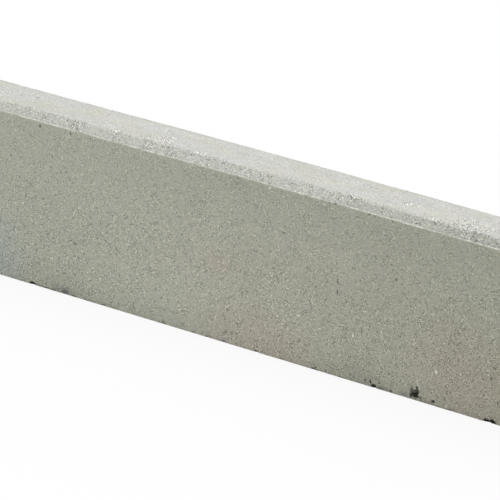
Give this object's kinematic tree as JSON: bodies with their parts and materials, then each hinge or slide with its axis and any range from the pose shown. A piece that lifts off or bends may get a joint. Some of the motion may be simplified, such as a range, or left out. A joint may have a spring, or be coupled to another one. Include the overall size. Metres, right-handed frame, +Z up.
{
  "type": "concrete kerb stone",
  "caption": "Straight concrete kerb stone of rectangular section with one bevelled front top arris, set upright on its narrow bed to edge paving or lawn.",
  "frame": {"origin": "middle of the bed, the narrow underside that the stone stands on", "axes": "+X along the kerb line, -Y out of the front face whose top arris is bevelled, +Z up"},
  "size_m": [1, 0.06, 0.2],
  "materials": {
    "concrete": "matte"
  },
  "bodies": {
    "root": {"kerb_stone": "concrete"}
  },
  "joints": []
}
